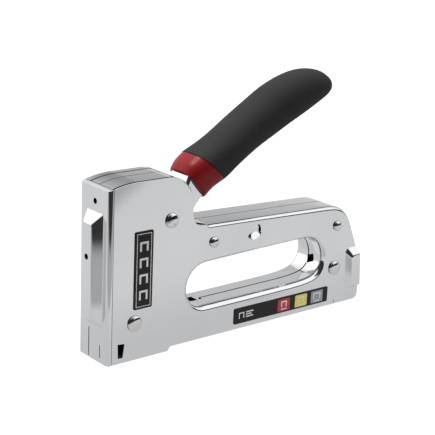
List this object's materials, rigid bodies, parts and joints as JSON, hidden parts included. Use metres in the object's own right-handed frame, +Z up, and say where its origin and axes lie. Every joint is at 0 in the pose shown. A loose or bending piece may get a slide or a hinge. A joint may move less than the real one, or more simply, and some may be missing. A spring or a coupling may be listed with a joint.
{
  "type": "staple gun",
  "caption": "Chromed hand-lever staple gun with a red-collared black grip raised, finger slot in the body, raised rib on the nose plate and a slide-out staple magazine.",
  "frame": {"origin": "under the middle of the overall length and width, in the plane the nose foot stands on", "axes": "+X from the nose to the rear, +Y to the far side seen with the nose on the left, +Z up"},
  "size_m": [0.188, 0.0324, 0.1443],
  "materials": {
    "chrome_plate": "polished chrome plate",
    "bright_steel": "bright",
    "spring_steel": "oiled",
    "label_black": "printed label",
    "dark_moulding": "matt",
    "red_moulding": "gloss",
    "black_grip": "fine matt texture"
  },
  "bodies": {
    "body": {"near_shell": "chrome_plate", "far_shell": "chrome_plate", "nose_plate": "chrome_plate", "near_plaque": "label_black", "near_strip": "label_black", "far_plaque": "label_black", "far_strip": "label_black", "rivet_loop_front": "bright_steel", "rivet_nose": "bright_steel", "rivet_loop_rear": "bright_steel", "lever_pin": "bright_steel", "latch_pin": "bright_steel", "magazine_channel": "bright_steel", "spring_seat": "dark_moulding", "main_spring": "spring_steel", "bumper": "dark_moulding"},
    "handle": {"lever_arm": "chrome_plate", "grip_core": "red_moulding", "grip_cover": "black_grip", "return_spring": "spring_steel"},
    "hammer_set": {"hammer": "bright_steel", "driver_blade": "bright_steel", "hammer_pin": "bright_steel"},
    "magazine": {"staple_rail": "bright_steel", "guide_rod": "bright_steel", "magazine_end_cap": "bright_steel", "pusher_spring": "spring_steel"},
    "pusher_block": {"pusher": "dark_moulding"},
    "rear_latch": {"latch": "bright_steel", "latch_spring": "spring_steel"}
  },
  "joints": [
    {"name": "handle_pivot", "type": "hinge", "parent": "body", "child": "handle", "pos_m": [-0.04945, 0, 0.0739], "axis": [0, 1, 0], "range_deg": [0, 24], "stiffness_Nm_per_rad": 1.2, "springref_deg": -28.65},
    {"name": "hammer_slide", "type": "slide", "parent": "body", "child": "hammer_set", "axis": [0, 0, 1], "range_m": [0, 0.012], "deforming": ["main_spring"]},
    {"name": "magazine_slide", "type": "slide", "parent": "body", "child": "magazine", "axis": [1, 0, 0], "range_m": [0, 0.14]},
    {"name": "pusher_slide", "type": "slide", "parent": "magazine", "child": "pusher_block", "axis": [1, 0, 0], "range_m": [0, 0.12], "stiffness_N_per_m": 20, "springref_m": -0.03, "deforming": ["pusher_spring"]},
    {"name": "latch_pivot", "type": "hinge", "parent": "body", "child": "rear_latch", "pos_m": [0.07245, 0, 0.0256], "axis": [0, 1, 0], "range_deg": [-12, 0], "stiffness_Nm_per_rad": 0.05, "springref_deg": 17.19}
  ],
  "couplings": [
    {"joint": "hammer_slide", "follows": "handle_pivot", "m_per_rad": 0.0265}
  ]
}
